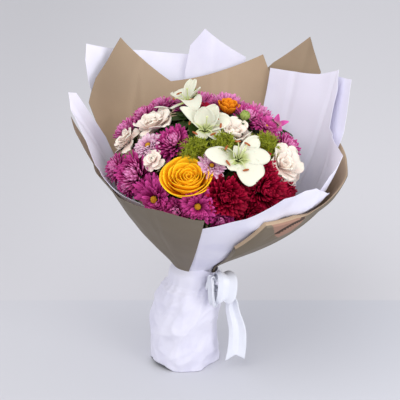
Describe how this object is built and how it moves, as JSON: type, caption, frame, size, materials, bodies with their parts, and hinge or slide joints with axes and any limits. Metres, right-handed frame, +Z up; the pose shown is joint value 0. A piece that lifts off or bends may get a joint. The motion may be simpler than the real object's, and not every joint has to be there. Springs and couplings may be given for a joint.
{
  "type": "flower bouquet",
  "caption": "Mixed flower bouquet of chrysanthemums, lilies and a rose in a folded paper wrap, standing on its sleeved foot with a satin ribbon.",
  "frame": {"origin": "centre of the middle stem's flat cut end, on the floor under the foot", "axes": "+Z up along the bouquet, -Y its front, +X to the right seen from the front"},
  "size_m": [0.359, 0.3294, 0.3946],
  "materials": {
    "petal_magenta": "soft matt petals",
    "petal_pale_pink": "soft matt petals",
    "petal_crimson": "soft velvety petals",
    "petal_rose": "smooth satin-like petals",
    "petal_orange": "smooth petals",
    "petal_white": "smooth waxy petals",
    "petal_cream": "soft ruffled petals",
    "petal_hot_pink": "soft petals",
    "fern_green": "fine feathery needles",
    "bud_green": "smooth green buds",
    "stem_green": "smooth green stems",
    "paper_white": "matt white wrapping paper",
    "paper_brown": "matt brown kraft paper",
    "satin_white": "satin ribbon"
  },
  "bodies": {
    "root": {"mum_01": "petal_magenta", "mum_02": "petal_magenta", "mum_03": "petal_magenta", "mum_04": "petal_magenta", "mum_05": "petal_magenta", "mum_06": "petal_pale_pink", "mum_07": "petal_magenta", "mum_08": "petal_magenta", "mum_09": "petal_magenta", "mum_10": "petal_magenta", "mum_11": "petal_magenta", "mum_12": "petal_magenta", "mum_13": "petal_pale_pink", "mum_14": "petal_magenta", "mum_15": "petal_magenta", "mum_16": "petal_magenta", "mum_17": "petal_magenta", "mum_18": "petal_magenta", "mum_19": "petal_magenta", "crimson_1": "petal_crimson", "crimson_2": "petal_crimson", "crimson_3": "petal_crimson", "crimson_4": "petal_crimson", "crimson_5": "petal_crimson", "crimson_6": "petal_crimson", "crimson_7": "petal_crimson", "garden_rose": "petal_rose", "orange_cup": "petal_orange", "lily_1": "petal_white", "lily_2": "petal_white", "lily_3": "petal_white", "ruffle_1": "petal_cream", "ruffle_2": "petal_cream", "ruffle_3": "petal_cream", "ruffle_4": "petal_cream", "ruffle_5": "petal_cream", "ruffle_6": "petal_cream", "star_flower": "petal_hot_pink", "fern_1": "fern_green", "fern_2": "fern_green", "fern_3": "fern_green", "bud_1": "bud_green", "bud_2": "bud_green", "paper_white_right": "paper_white", "paper_white_left": "paper_white", "paper_brown_back": "paper_brown", "paper_white_far_right": "paper_white", "paper_white_front": "paper_white", "paper_brown_back_right": "paper_brown", "paper_white_back": "paper_white", "paper_brown_left": "paper_brown", "paper_white_back_left": "paper_white", "paper_brown_right": "paper_brown", "stem_bundle": "stem_green", "foot_sleeve": "paper_white", "ribbon_band": "satin_white", "ribbon_bow": "satin_white"}
  },
  "joints": []
}
